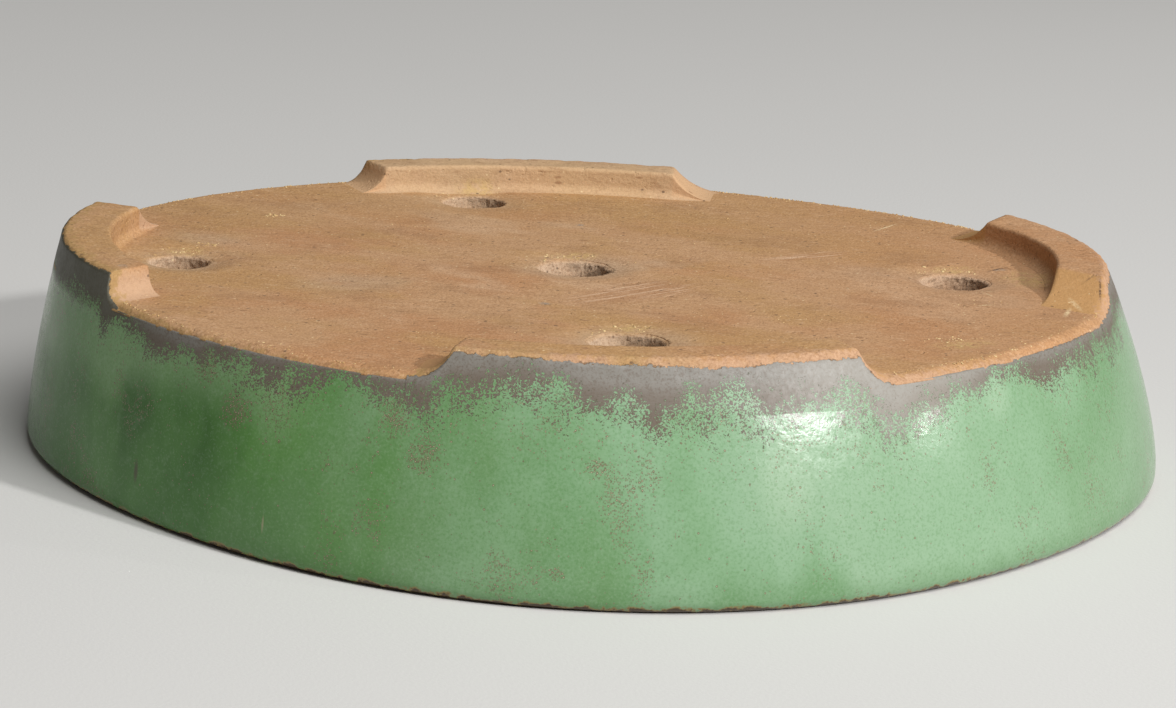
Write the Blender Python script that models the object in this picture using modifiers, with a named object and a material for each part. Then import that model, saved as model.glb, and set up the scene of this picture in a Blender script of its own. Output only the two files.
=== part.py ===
"""Oval bonsai pot of glazed stoneware, turned over: rim down at z = 0, feet up.

The pot is built as a potter builds it: a pressed oval wall, a floor slab set inside the wall
on a luted cove, and four feet cut from arcs of clay and luted on flush with the wall.
Units are metres. X runs along the oval, Y across it, and Z points from the rim to the feet.
"""
import math

import bmesh
import bpy
from mathutils import Matrix, Vector

# Overall sizes
RIM_LENGTH = 0.300        # true oval at the widest level, before the hand-made unevenness
RIM_WIDTH = 0.240
BASE_LENGTH = 0.2786      # the same oval where the wall meets the underside
BASE_WIDTH = 0.2032
BASE_SHIFT_X = -0.0045    # the base sits a little off the middle of the rim
BASE_SHIFT_Y = -0.0043
BASE_TWIST = 1.9          # degrees that the base is turned against the rim
POT_HEIGHT = 0.0506       # rim plane to underside
WIDEST_LEVEL = 0.0049     # the wall is upright below this level and leans in above it
TAPER_POWER = 1.4         # how late the lean sets in: 1 is a straight wall

# Hand-pressed departure from the true oval: waves round it, cosine share, sine share
UNEVENNESS = (
    (1, 0.0144, -0.0084),
    (2, -0.0136, -0.0200),
    (3, 0.0160, 0.0160),
    (4, 0.0120, -0.0013),
)

# Clay thicknesses and roundings
WALL_THICKNESS = 0.0085
FLOOR_THICKNESS = 0.0095
LUTING_GAP = 0.0003       # the film of slip between two luted pieces
LIP_OUTER_RADIUS = 0.0032
LIP_INNER_RADIUS = 0.0028
BASE_EDGE_RADIUS = 0.0012
COVE_RADIUS = 0.0080      # fillet of clay in the inside corner, under the floor slab
COVE_SWEEP = 75.0         # degrees of the cove's quarter round, which leaves it a blunt edge

# Feet
FOOT_HEIGHT = 0.0070
FOOT_EDGE_RADIUS = 0.0008
FOOT_FILLET_RADIUS = 0.0016
FOOT_BLUNT_EDGE = 0.0004  # thickness left where a foot's fillet or scooped end runs out
# name: start angle, end angle, width across, run of the start's scoop, run of the end's scoop
FEET = {
    "foot_front": (242.6, 292.2, 0.0105, 0.0105, 0.0095),
    "foot_back": (62.8, 109.0, 0.0100, 0.0105, 0.0105),
    "foot_left": (141.5, 195.8, 0.0125, 0.0190, 0.0065),
    "foot_right": (335.0, 386.8, 0.0130, 0.0195, 0.0125),
}

# Drain holes: position from the pot's middle, and diameter of the punched hole
DRAIN_HOLES = {
    "centre": (-0.0094, 0.0039, 0.0180),
    "left": (-0.1120, 0.0078, 0.0150),
    "right": (0.0913, -0.0063, 0.0175),
    "front": (-0.0103, -0.0659, 0.0185),
    "back": (-0.0236, 0.0745, 0.0165),
}
DRAIN_FLARE_OUT = 0.0015  # worn, dished mouth on the underside
DRAIN_FLARE_IN = 0.0010   # small burr radius on the planting side

# Facets
ROUND_STEPS = 96
FOOT_STEPS = 22
HOLE_STEPS = 24
ARC_STEPS = 3
SIDE_STEPS = 7
SCOOP_STEPS = 72
CUT_MARGIN = 0.004        # how far a cutter stands past what it cuts

BLANK_RADIUS = RIM_LENGTH / 2
FLOOR_LEVEL = POT_HEIGHT - FLOOR_THICKNESS
LEDGE_LEVEL = FLOOR_LEVEL - LUTING_GAP
FOOT_SEAT = POT_HEIGHT + LUTING_GAP
FOOT_TOP = POT_HEIGHT + FOOT_HEIGHT


def oval(angle, level):
    """Point of the pot's outer skin in plan, at an angle in radians and a level."""
    rise = max(0.0, (level - WIDEST_LEVEL) / (POT_HEIGHT - WIDEST_LEVEL)) ** TAPER_POWER
    half_length = (RIM_LENGTH + (BASE_LENGTH - RIM_LENGTH) * rise) / 2
    half_width = (RIM_WIDTH + (BASE_WIDTH - RIM_WIDTH) * rise) / 2
    swell = 1.0
    for waves, cosine, sine in UNEVENNESS:
        swell += cosine * math.cos(waves * angle) + sine * math.sin(waves * angle)
    place = Vector((half_length * math.cos(angle) * swell, half_width * math.sin(angle) * swell))
    place.rotate(Matrix.Rotation(math.radians(BASE_TWIST) * rise, 2))
    return place + Vector((BASE_SHIFT_X, BASE_SHIFT_Y)) * rise


def rim_middle(samples=720):
    """Middle of the widest outline's own box, which the pot is centred on."""
    points = [oval(2 * math.pi * i / samples, WIDEST_LEVEL) for i in range(samples)]
    spans = [(min(p[axis] for p in points), max(p[axis] for p in points)) for axis in (0, 1)]
    return Vector([(low + high) / 2 for low, high in spans])


MIDDLE = rim_middle()


def outward(angle, level, step=1e-3):
    """Unit normal of the outline in plan."""
    along = oval(angle + step, level) - oval(angle - step, level)
    return Vector((along.y, -along.x)).normalized()


def skin(angle, level, inset=0.0):
    """Point at an angle and level, a given distance inside the outer skin."""
    place = oval(angle, level) - MIDDLE - outward(angle, level) * inset
    return Vector((place.x, place.y, level))


def foot_skin(angle, level, inset, width):
    """Point of a foot: its outer side follows the leaning skin, and its inner side is plumb."""
    share = min(1.0, max(0.0, inset / width))
    place = skin(angle, level + (FOOT_TOP - level) * share, inset)
    return Vector((place.x, place.y, level))


def press(bm, foot_width=None):
    """Press a round blank into the oval: radius short of the blank's becomes inset."""
    for vertex in bm.verts:
        angle = math.atan2(vertex.co.y, vertex.co.x)
        inset = BLANK_RADIUS - math.hypot(vertex.co.x, vertex.co.y)
        if foot_width:
            vertex.co = foot_skin(angle, vertex.co.z, inset, foot_width)
        else:
            vertex.co = skin(angle, vertex.co.z, inset)


def arc(centre_inset, centre_level, radius, start, end, steps=ARC_STEPS):
    """Points of an arc in a profile, as inset and level; 0 degrees points inward."""
    points = []
    for i in range(steps + 1):
        turn = math.radians(start + (end - start) * i / steps)
        points.append((centre_inset + radius * math.cos(turn), centre_level + radius * math.sin(turn)))
    return points


def levels(start, end, steps):
    """Levels between two ends, without the ends."""
    return [start + (end - start) * i / steps for i in range(1, steps)]


def wall_profile():
    """Section of the wall: outer side, lip, inner side, cove and the floor slab's seat."""
    base_edge = arc(BASE_EDGE_RADIUS, POT_HEIGHT - BASE_EDGE_RADIUS, BASE_EDGE_RADIUS, 90, 180)
    outer = [(0.0, z) for z in levels(POT_HEIGHT - BASE_EDGE_RADIUS, LIP_OUTER_RADIUS, SIDE_STEPS)]
    outer_lip = arc(LIP_OUTER_RADIUS, LIP_OUTER_RADIUS, LIP_OUTER_RADIUS, 180, 270)
    inner_lip = arc(WALL_THICKNESS - LIP_INNER_RADIUS, LIP_INNER_RADIUS, LIP_INNER_RADIUS, -90, 0)
    cove_foot = LEDGE_LEVEL - COVE_RADIUS
    inner = [(WALL_THICKNESS, z) for z in levels(LIP_INNER_RADIUS, cove_foot, SIDE_STEPS - 1)]
    cove = arc(WALL_THICKNESS + COVE_RADIUS, cove_foot, COVE_RADIUS, 180, 180 - COVE_SWEEP)
    seat = [(cove[-1][0], LEDGE_LEVEL), (WALL_THICKNESS, LEDGE_LEVEL), (WALL_THICKNESS, POT_HEIGHT)]
    return base_edge + outer + outer_lip + inner_lip + inner + cove + seat


def foot_profile(width):
    """Section of a foot: outer side flush with the wall, filleted inner side."""
    outer_edge = arc(FOOT_EDGE_RADIUS, FOOT_TOP - FOOT_EDGE_RADIUS, FOOT_EDGE_RADIUS, 90, 180)
    outer = [(0.0, (FOOT_TOP + FOOT_SEAT) / 2), (0.0, FOOT_SEAT)]
    toe = [(width + FOOT_FILLET_RADIUS, FOOT_SEAT)]
    fillet = arc(
        width + FOOT_FILLET_RADIUS, FOOT_SEAT + FOOT_BLUNT_EDGE + FOOT_FILLET_RADIUS,
        FOOT_FILLET_RADIUS, 270, 180,
    )
    inner_edge = arc(width - FOOT_EDGE_RADIUS, FOOT_TOP - FOOT_EDGE_RADIUS, FOOT_EDGE_RADIUS, 0, 90)
    return outer_edge + outer + toe + fillet + inner_edge


def new_material(name, colour, roughness):
    """Principled material in one plain colour."""
    material = bpy.data.materials.new(name)
    material.use_nodes = True
    shader = material.node_tree.nodes["Principled BSDF"]
    shader.inputs["Base Color"].default_value = (*colour, 1.0)
    shader.inputs["Roughness"].default_value = roughness
    shader.inputs["Metallic"].default_value = 0.0
    return material


def add_object(name, mesh, collection, material=None):
    """Put a mesh in a collection as a named object."""
    item = bpy.data.objects.new(name, mesh)
    collection.objects.link(item)
    if material:
        mesh.materials.append(material)
    return item


def turned_mesh(name, profile, collection, steps, start=0.0, end=360.0, closed=True):
    """Turn a profile of (radius, level) points about Z with a screw, and return the mesh."""
    mesh = bpy.data.meshes.new(name)
    count = len(profile)
    edges = [(i, (i + 1) % count) for i in range(count if closed else count - 1)]
    mesh.from_pydata([(radius, 0.0, level) for radius, level in profile], edges, [])
    blank = add_object(name, mesh, collection)
    screw = blank.modifiers.new("turn", "SCREW")
    screw.axis = "Z"
    screw.angle = math.radians(end - start)
    screw.steps = screw.render_steps = steps
    screw.use_merge_vertices = True
    screw.merge_threshold = 0.00001
    depsgraph = bpy.context.evaluated_depsgraph_get()
    turned = bpy.data.meshes.new_from_object(blank.evaluated_get(depsgraph))
    bpy.data.objects.remove(blank)
    turned.transform(Matrix.Rotation(math.radians(start), 4, "Z"))
    turned.name = name
    return turned


def pressed_piece(name, profile, collection, material, steps, start=0.0, end=360.0, foot_width=None):
    """Turn a section of (inset, level) points as a round blank, then press it into the oval."""
    blank = [(BLANK_RADIUS - inset, level) for inset, level in profile]
    mesh = turned_mesh(name, blank, collection, steps, start, end)
    bm = bmesh.new()
    bm.from_mesh(mesh)
    open_edges = [edge for edge in bm.edges if edge.is_boundary]
    if open_edges:
        bmesh.ops.holes_fill(bm, edges=open_edges, sides=0)
    press(bm, foot_width)
    bmesh.ops.recalc_face_normals(bm, faces=bm.faces)
    bm.to_mesh(mesh)
    bm.free()
    piece = add_object(name, mesh, collection, material)
    mesh.shade_smooth()
    mesh.set_sharp_from_angle(angle=math.radians(35))
    return piece


def hide_cutter(cutter):
    """Mark an object as a cutter only."""
    cutter.hide_render = True
    cutter.display_type = "WIRE"
    return cutter


def cut(piece, cutter):
    """Take a cutter's shape out of a piece."""
    modifier = piece.modifiers.new(cutter.name, "BOOLEAN")
    modifier.operation = "DIFFERENCE"
    modifier.solver = "EXACT"
    modifier.object = cutter


def make_wall(pieces, material):
    """The oval side wall with its lip, and the cove that carries the floor."""
    return pressed_piece("pot_wall", wall_profile(), pieces, material, ROUND_STEPS)


def drain_cutter(name, x, y, diameter, cutters):
    """Turned cutter of one drain hole: straight through, flared at both faces."""
    radius = diameter / 2
    profile = [(0.0, POT_HEIGHT + CUT_MARGIN), (radius + DRAIN_FLARE_OUT, POT_HEIGHT + CUT_MARGIN)]
    for i in range(ARC_STEPS + 1):
        turn = math.radians(90 * i / ARC_STEPS)
        profile.append((
            radius + DRAIN_FLARE_OUT * (1 - math.sin(turn)),
            POT_HEIGHT - DRAIN_FLARE_OUT * (1 - math.cos(turn)),
        ))
    for i in range(ARC_STEPS + 1):
        turn = math.radians(90 * i / ARC_STEPS)
        profile.append((
            radius + DRAIN_FLARE_IN * (1 - math.cos(turn)),
            FLOOR_LEVEL + DRAIN_FLARE_IN * (1 - math.sin(turn)),
        ))
    profile += [(radius + DRAIN_FLARE_IN, FLOOR_LEVEL - CUT_MARGIN), (0.0, FLOOR_LEVEL - CUT_MARGIN)]
    mesh = turned_mesh("drain_" + name, profile, cutters, HOLE_STEPS, closed=False)
    cutter = add_object("drain_" + name, mesh, cutters)
    cutter.location = (x, y, 0.0)
    return hide_cutter(cutter)


def make_slab(pieces, cutters, material):
    """The floor slab, set inside the wall, with its drain holes."""
    bm = bmesh.new()
    edge_inset = WALL_THICKNESS + LUTING_GAP
    bmesh.ops.create_circle(bm, cap_ends=True, segments=ROUND_STEPS, radius=BLANK_RADIUS - edge_inset)
    bmesh.ops.translate(bm, vec=(0, 0, FLOOR_LEVEL), verts=bm.verts)
    grown = bmesh.ops.extrude_face_region(bm, geom=bm.faces[:])
    top = [item for item in grown["geom"] if isinstance(item, bmesh.types.BMVert)]
    bmesh.ops.translate(bm, vec=(0, 0, FLOOR_THICKNESS), verts=top)
    press(bm)
    bmesh.ops.recalc_face_normals(bm, faces=bm.faces)
    mesh = bpy.data.meshes.new("base_slab")
    bm.to_mesh(mesh)
    bm.free()
    slab = add_object("base_slab", mesh, pieces, material)
    mesh.shade_smooth()
    mesh.set_sharp_from_angle(angle=math.radians(35))
    for name, (x, y, diameter) in DRAIN_HOLES.items():
        cut(slab, drain_cutter(name, x, y, diameter, cutters))
    return slab


def scoop_cutter(name, degrees, width, run, cutters):
    """Cylinder that scoops a foot's end: it lies across the foot, over the foot's tip."""
    angle = math.radians(degrees)
    radius = (run ** 2 + FOOT_HEIGHT ** 2) / (2 * FOOT_HEIGHT)
    normal = outward(angle, POT_HEIGHT)
    lean = (skin(angle, FOOT_SEAT) - skin(angle, FOOT_TOP)).to_2d().length
    reach = width + lean + FOOT_FILLET_RADIUS + 2 * CUT_MARGIN
    middle = skin(angle, POT_HEIGHT, reach / 2 - CUT_MARGIN)
    middle.z = POT_HEIGHT + radius - FOOT_BLUNT_EDGE
    bm = bmesh.new()
    bmesh.ops.create_cone(
        bm, cap_ends=True, segments=SCOOP_STEPS, radius1=radius, radius2=radius,
        depth=reach + 2 * CUT_MARGIN,
    )
    across = Vector((normal.x, normal.y, 0.0)).to_track_quat("Z", "Y").to_matrix().to_4x4()
    bmesh.ops.transform(bm, matrix=Matrix.Translation(middle) @ across, verts=bm.verts)
    mesh = bpy.data.meshes.new(name)
    bm.to_mesh(mesh)
    bm.free()
    return hide_cutter(add_object(name, mesh, cutters))


def make_foot(name, pieces, cutters, material):
    """One foot: an arc of clay under the wall, with a scooped slope at each end."""
    start, end, width, start_run, end_run = FEET[name]
    foot = pressed_piece(name, foot_profile(width), pieces, material, FOOT_STEPS, start, end, width)
    cut(foot, scoop_cutter(name + "_start", start, width, start_run, cutters))
    cut(foot, scoop_cutter(name + "_end", end, width, end_run, cutters))
    return foot


def main():
    """Build the pot from an empty scene."""
    for item in list(bpy.data.objects):
        bpy.data.objects.remove(item)
    pieces = bpy.data.collections.new("oval_bonsai_pot")
    cutters = bpy.data.collections.new("cutters")
    for collection in (pieces, cutters):
        bpy.context.scene.collection.children.link(collection)
    make_wall(pieces, new_material("green_glaze", (0.11, 0.33, 0.15), 0.32))
    make_slab(pieces, cutters, new_material("slab_clay", (0.42, 0.24, 0.12), 0.85))
    for name in FEET:
        make_foot(name, pieces, cutters, new_material(name + "_clay", (0.50, 0.28, 0.16), 0.85))


main()
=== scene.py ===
"""Looks of an oval bonsai pot that lies upside down, rim on the floor and feet up.

The pot is hand-built stoneware: a pressed wall under a green glaze, a bare clay floor with five
drain holes, and four bare-topped feet luted on flush with the wall. Everything is in metres, in the
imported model's frame. Each piece is spun or extruded as a plain blank, and its points are then
pressed into the pot's uneven oval.
"""
import logging
import math
import random
from dataclasses import dataclass, field, replace
from enum import Enum
from functools import cached_property, lru_cache
from typing import Iterable, Sequence

import bmesh
import bpy
from bmesh.types import BMEdge, BMesh, BMLayerItem, BMVert
from bpy.types import Material, Mesh, Node, NodeSocket, Object
from mathutils import Matrix, Vector, noise


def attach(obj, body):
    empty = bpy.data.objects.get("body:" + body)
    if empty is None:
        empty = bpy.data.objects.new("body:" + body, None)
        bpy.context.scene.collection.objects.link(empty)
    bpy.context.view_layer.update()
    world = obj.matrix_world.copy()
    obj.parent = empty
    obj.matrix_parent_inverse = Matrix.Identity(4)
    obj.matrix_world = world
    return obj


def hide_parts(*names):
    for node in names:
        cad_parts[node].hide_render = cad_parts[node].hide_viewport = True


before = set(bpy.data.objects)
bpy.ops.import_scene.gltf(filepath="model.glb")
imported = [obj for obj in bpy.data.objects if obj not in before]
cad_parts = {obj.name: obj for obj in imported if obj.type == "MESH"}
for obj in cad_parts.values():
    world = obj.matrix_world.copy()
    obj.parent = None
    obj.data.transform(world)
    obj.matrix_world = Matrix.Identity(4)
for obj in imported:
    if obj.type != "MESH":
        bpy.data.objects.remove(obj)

logging.basicConfig(level=logging.INFO, format="%(message)s")
log = logging.getLogger("bonsai_pot")

BODY = "root"
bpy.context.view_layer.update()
MM = 0.001
UNDERSIDE = 0.0506

Colour = tuple[float, float, float]
Triple = tuple[float, float, float]
Section = list[tuple[float, float]]


class Slot(Enum):
    """Material slots of the record. The pieces here don't use them; they build their own materials."""

    GLAZE = "green_glaze"
    CLAY = "bare_clay"
    FOOT = "foot_clay"


def smooth_step(low: float, high: float, value: float) -> float:
    """Ease from 0 to 1 as a value goes from low to high.

    Args:
        low: Value that gives 0.
        high: Value that gives 1.
        value: The value itself.

    Returns:
        The eased share, between 0 and 1.
    """
    share = min(1.0, max(0.0, (value - low) / (high - low)))
    return share * share * (3 - 2 * share)


def ripple(place: Vector, scale: float, octaves: int = 2) -> float:
    """Return seamless noise at a place, about -1 to 1, with features of 1/scale metres."""
    return noise.fractal(place * scale, 1.0, 2.0, octaves)


def arc(inset: float, level: float, radius: float, start: float, end: float, steps: int) -> Section:
    """Points of an arc in a section.

    Args:
        inset: Inset of the arc's middle.
        level: Level of the arc's middle.
        radius: Radius of the arc.
        start: First direction in degrees. 0 points inward and 90 up.
        end: Last direction in degrees.
        steps: Number of stretches.

    Returns:
        Inset and level of each point, both ends included.
    """
    turns = [math.radians(start + (end - start) * i / steps) for i in range(steps + 1)]
    return [(inset + radius * math.cos(turn), level + radius * math.sin(turn)) for turn in turns]


def line(start: tuple[float, float], end: tuple[float, float], steps: int) -> Section:
    """Points of a straight stretch in a section, the first included and the last left out.

    Args:
        start: Inset and level of the first point.
        end: Inset and level of the last point.
        steps: Number of stretches.

    Returns:
        Inset and level of each point but the last.
    """
    return [
        (start[0] + (end[0] - start[0]) * i / steps, start[1] + (end[1] - start[1]) * i / steps)
        for i in range(steps)
    ]


@dataclass(frozen=True)
class FootPlan:
    """Where a foot lies round the outline, and how its ends are scooped.

    Angles are in degrees, lengths in metres.
    """

    name: str
    start: float
    end: float
    width: float
    start_run: float
    end_run: float
    fillet: float


@dataclass(frozen=True)
class DrainHole:
    """A drain hole in the floor: its place, its diameter and the depth of its worn dish."""

    x: float
    y: float
    diameter: float
    dish: float


FEET = (
    FootPlan("foot_front", 242.6, 292.2, 0.0105, 0.0105, 0.0095, 0.0030),
    FootPlan("foot_back", 62.8, 109.7, 0.0100, 0.0125, 0.0082, 0.0026),
    FootPlan("foot_left", 144.4, 198.6, 0.0125, 0.0128, 0.0060, 0.0024),
    FootPlan("foot_right", 332.6, 386.8, 0.0130, 0.0185, 0.0125, 0.0032),
)

# The holes in the middle and at the left, right, front and back
DRAIN_HOLES = (
    DrainHole(-0.0094, 0.0039, 0.0180, 0.0008),
    DrainHole(-0.1120, 0.0078, 0.0150, 0.0009),
    DrainHole(0.0913, -0.0063, 0.0175, 0.0010),
    DrainHole(-0.0103, -0.0659, 0.0185, 0.0007),
    DrainHole(-0.0236, 0.0745, 0.0165, 0.0008),
)


@dataclass(frozen=True)
class BandStop:
    """The glaze's upper edge at one direction round the pot.

    The direction is in degrees and the rest in millimetres: the bare clay above the glaze line, the
    depth below the line at which half of the grey band has turned green, and the break-up's spread.
    """

    degrees: float
    bare: float
    half: float
    spread: float


GLAZE_BAND = tuple(BandStop(*stop) for stop in (
    (-20, 2.6, 5.5, 9.0), (30, 2.4, 6.5, 9.0), (90, 1.6, 7.0, 9.0), (150, 0.6, 8.0, 9.0),
    (185, 0.2, 9.8, 9.0), (194, 0.2, 10.4, 8.0), (199, 0.2, 4.0, 6.0), (205, 0.3, 5.4, 6.0),
    (214, 0.5, 6.4, 6.0), (219, 0.7, 3.2, 6.0), (224, 0.8, 6.2, 9.0), (230, 1.0, 5.0, 9.5),
    (235, 0.9, 2.6, 6.0), (242, 0.3, 5.0, 8.0), (248, 1.1, 8.0, 10.0), (254, 0.7, 7.0, 12.0),
    (262, 1.6, 9.0, 10.0), (267, 1.7, 10.0, 11.0), (273, 2.2, 8.6, 12.0), (280, 2.0, 10.2, 12.0),
    (290, 1.6, 9.8, 10.5), (296, 0.4, 6.3, 8.5), (301, 0.5, 6.4, 7.5), (307, 1.2, 2.8, 4.5),
    (316, 1.2, 5.2, 7.5), (335, 1.6, 5.0, 9.0), (340, 2.6, 5.5, 9.0),
))


@lru_cache(maxsize=None)
def band_at(angle: float) -> tuple[float, float, float]:
    """Bare clay, half-green depth and spread of the glaze band at an angle, in millimetres.

    Args:
        angle: Direction round the pot in radians.

    Returns:
        The three lengths.
    """
    degrees = math.degrees(angle) % 360
    degrees -= 360 if degrees > GLAZE_BAND[-1].degrees else 0
    for first, last in zip(GLAZE_BAND, GLAZE_BAND[1:]):
        if degrees <= last.degrees:
            share = smooth_step(first.degrees, last.degrees, degrees)
            pairs = ((first.bare, last.bare), (first.half, last.half), (first.spread, last.spread))
            return tuple(low + (high - low) * share for low, high in pairs)
    return GLAZE_BAND[-1].bare, GLAZE_BAND[-1].half, GLAZE_BAND[-1].spread


@lru_cache(maxsize=None)
def line_wander(angle: float) -> tuple[float, float]:
    """Jagged and slow wandering of the glaze line.

    Args:
        angle: Direction round the pot in radians.

    Returns:
        The two, each about -1 to 1.
    """
    place = Vector((math.cos(angle), math.sin(angle), 0.0))
    jagged = noise.fractal(place * 34.0 + Vector((0, 0, 3)), 0.8, 2.2, 4)
    return jagged, noise.noise(place * 9.0 + Vector((0, 0, 8)))


@lru_cache(maxsize=None)
def swelling(angle: float, waves: tuple[tuple[int, float, float], ...]) -> Triple:
    """Cosine and sine of an angle, and how far the outline swells there beside a true oval.

    Args:
        angle: Direction round the pot in radians.
        waves: Number of swells round the pot, and the cosine and sine share of each wave.

    Returns:
        Cosine, sine and the factor on a true oval.
    """
    swell = sum(
        cosine * math.cos(count * angle) + sine * math.sin(count * angle) for count, cosine, sine in waves
    )
    return math.cos(angle), math.sin(angle), 1.0 + swell


@dataclass(frozen=True)
class PotForm:
    """Outer form of the pot: a tapering oval, pressed a little out of true by hand."""

    rim_length: float = 0.300
    rim_width: float = 0.240
    base_length: float = 0.2786
    base_width: float = 0.2032
    base_shift: tuple[float, float] = (-0.0045, -0.0043)
    base_twist: float = math.radians(1.9)
    height: float = UNDERSIDE
    widest_level: float = 0.0049
    taper_power: float = 1.4
    unevenness: tuple[tuple[int, float, float], ...] = (
        (1, 0.0144, -0.0084),
        (2, -0.0136, -0.0200),
        (3, 0.0160, 0.0160),
        (4, 0.0120, -0.0013),
    )
    wall: float = 0.0085
    floor: float = 0.0095
    foot_height: float = 0.0070
    edge_radius: float = 0.0022
    lap: float = 0.0003

    @cached_property
    def foot_top(self) -> float:
        """Level of the feet's tops."""
        return self.height + self.foot_height

    @cached_property
    def blank_radius(self) -> float:
        """Radius of the round blank that is pressed into the oval."""
        return self.rim_length / 2

    @cached_property
    def middle(self) -> Vector:
        """Middle of the widest outline's own box, which the pot is centred on.

        Returns:
            The point as a 2D vector.
        """
        samples = 720
        points = [self.oval(2 * math.pi * i / samples, self.widest_level) for i in range(samples)]
        spans = [(min(p[axis] for p in points), max(p[axis] for p in points)) for axis in (0, 1)]
        return Vector([(low + high) / 2 for low, high in spans])

    def oval(self, angle: float, level: float) -> Vector:
        """Point of the outline in plan, before the pot is centred.

        Args:
            angle: Direction round the pot in radians.
            level: Height above the rim plane.

        Returns:
            The point as a 2D vector.
        """
        rise = max(0.0, (level - self.widest_level) / (self.height - self.widest_level)) ** self.taper_power
        half_length = (self.rim_length + (self.base_length - self.rim_length) * rise) / 2
        half_width = (self.rim_width + (self.base_width - self.rim_width) * rise) / 2
        cosine, sine, swell = swelling(angle, self.unevenness)
        x, y = half_length * cosine * swell, half_width * sine * swell
        twist = self.base_twist * rise
        return Vector((
            x * math.cos(twist) - y * math.sin(twist) + self.base_shift[0] * rise,
            x * math.sin(twist) + y * math.cos(twist) + self.base_shift[1] * rise,
        ))

    def outward(self, angle: float, level: float, step: float = 1e-3) -> Vector:
        """Unit normal of the outline in plan."""
        along = self.oval(angle + step, level) - self.oval(angle - step, level)
        return Vector((along.y, -along.x)).normalized()

    def skin(self, angle: float, level: float, inset: float = 0.0) -> Vector:
        """Point at an angle and level, a given distance inside the outer skin."""
        place = self.oval(angle, level) - self.middle - self.outward(angle, level) * inset
        return Vector((place.x, place.y, level))


@dataclass(frozen=True)
class HandRelief:
    """Slow waves, chips and worn dishes that hands, rib and sponge left in the clay."""

    wave: float = 0.00045
    tooling: float = 0.00005
    floor_wave: float = 0.00034
    wipe_share: float = 0.2
    dish_reach: float = 0.0090
    dish_lean: float = 0.16
    dish_power: float = 1.6
    chip: float = 0.00034
    glaze_step: float = 0.00020

    def outward(self, angle: float, level: float) -> float:
        """How far the outer side stands proud of the plain skin.

        Args:
            angle: Direction round the pot in radians.
            level: Height above the rim plane.

        Returns:
            Distance in metres, negative where the side is pressed in.
        """
        place = Vector((math.cos(angle), math.sin(angle), level * 6.0))
        slow = noise.noise(place * 2.7 + Vector((4.0, 1.0, 2.0)))
        runs = noise.noise(Vector((place.x * 14.0, place.y * 14.0, level * 20.0)))
        return (slow * self.wave + runs * self.tooling) * smooth_step(0.0, 0.006, level)

    def upward(self, x: float, y: float) -> float:
        """How far the underside stands above its plain level, dishes round the holes included.

        Args:
            x: Place along the pot.
            y: Place across the pot.

        Returns:
            Distance in metres, negative where the underside is low.
        """
        place = Vector((x, y, 0.0))
        lift = noise.noise(place * 22.0 + Vector((7.0, 3.0, 5.0))) * self.floor_wave
        wiped = Vector((x * 60.0 - y * 12.0, x * 30.0 + y * 150.0, 2.0))
        lift += noise.noise(wiped) * self.floor_wave * self.wipe_share
        for hole in DRAIN_HOLES:
            radius = hole.diameter / 2
            off = place - Vector((hole.x, hole.y, 0.0))
            away = off.length * (1.0 - self.dish_lean * max(0.0, -off.x / max(off.length, 1e-6)))
            worn = 1 - smooth_step(radius - 0.001, radius + self.dish_reach, away)
            lift -= hole.dish * worn ** self.dish_power
        return lift

    def edge(self, place: Vector, depth: float, inset: float) -> float:
        """How far a point near the outer edge stands proud, by its chips and the glaze's thickness.

        Args:
            place: The point.
            depth: Millimetres below the line where the glaze ends.
            inset: Distance inside the outer skin.

        Returns:
            Distance in metres.
        """
        outside = 1 - smooth_step(0.0035, 0.0065, inset)
        bare = 1 - smooth_step(-0.4, 0.4, depth)
        chipped = smooth_step(1.2, -1.0, depth)
        chips = ripple(place, 330.0, 3) * self.chip * chipped if chipped else 0.0
        return (chips - self.glaze_step * bare) * outside


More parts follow.
